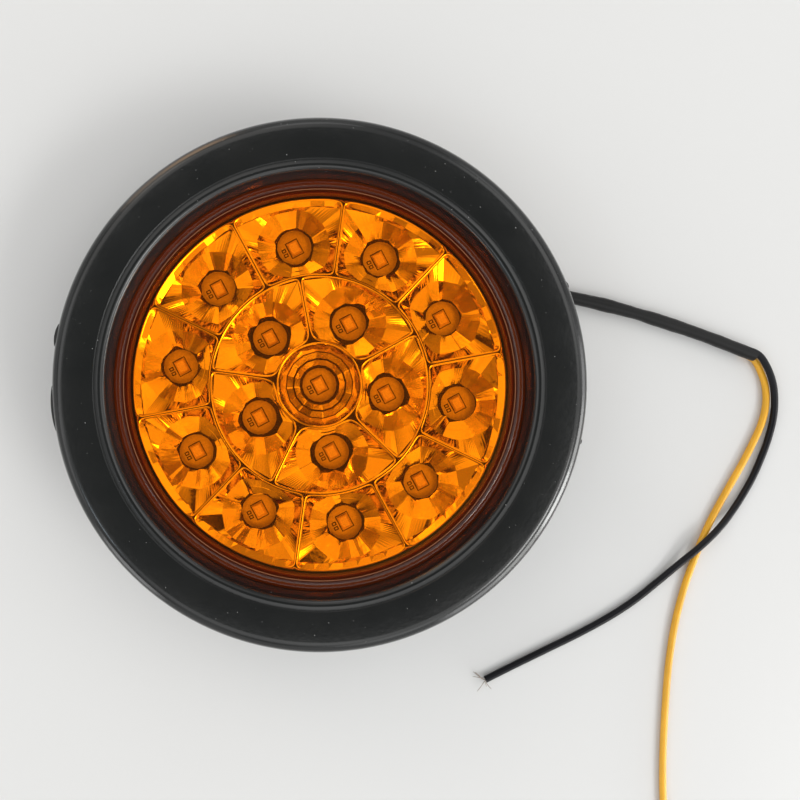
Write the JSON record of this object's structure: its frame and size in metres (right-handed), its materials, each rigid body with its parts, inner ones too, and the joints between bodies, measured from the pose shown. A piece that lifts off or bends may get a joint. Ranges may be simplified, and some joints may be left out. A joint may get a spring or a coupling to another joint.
{
  "type": "trailer lamp",
  "caption": "Round amber LED trailer lamp with a clear-patterned reflector, held in a black rubber mounting grommet, with a sleeved lead.",
  "frame": {"origin": "centre of the housing boss's rear face, on the surface that the lamp stands on", "axes": "+Z out of the lens along the lamp's axis; the lead leaves the boss 30 degrees from +X towards +Y and runs out on the +X side"},
  "size_m": [0.2035, 0.2008, 0.035],
  "materials": {
    "black_rubber": "satin moulded",
    "amber_lens": "clear gloss, polycarbonate",
    "black_plastic": "moulded",
    "metallised_plastic": "vacuum metallised",
    "board_mask": "solder mask",
    "led_package": "phosphor gel",
    "resistor_body": "glazed",
    "zinc_steel": "zinc plated",
    "sleeve_rubber": "satin",
    "black_insulation": "satin PVC",
    "yellow_insulation": "satin PVC",
    "tinned_copper": "stranded"
  },
  "bodies": {
    "grommet": {"grommet": "black_rubber"},
    "lamp": {"lens": "amber_lens", "housing": "black_plastic", "reflector": "metallised_plastic", "circuit_board": "board_mask", "led_center": "led_package", "led_inner_1": "led_package", "led_inner_2": "led_package", "led_inner_3": "led_package", "led_inner_4": "led_package", "led_inner_5": "led_package", "led_outer_1": "led_package", "led_outer_2": "led_package", "led_outer_3": "led_package", "led_outer_4": "led_package", "led_outer_5": "led_package", "led_outer_6": "led_package", "led_outer_7": "led_package", "led_outer_8": "led_package", "led_outer_9": "led_package", "led_outer_10": "led_package", "resistor_1": "resistor_body", "resistor_2": "resistor_body", "resistor_3": "resistor_body", "resistor_4": "resistor_body", "polarity_diode": "resistor_body", "board_screw_1": "zinc_steel", "board_screw_2": "zinc_steel", "board_screw_3": "zinc_steel", "wire_gland": "sleeve_rubber", "black_inner_lead": "black_insulation", "yellow_inner_lead": "yellow_insulation", "lead_sleeve": "sleeve_rubber", "black_wire": "black_insulation", "yellow_wire": "yellow_insulation", "black_strands": "tinned_copper", "yellow_strands": "tinned_copper"}
  },
  "joints": [
    {"name": "lamp_turn", "type": "hinge", "parent": "grommet", "child": "lamp", "pos_m": [0, 0, 0.03], "axis": [0, 0, 1], "range_deg": [-90, 90]}
  ]
}
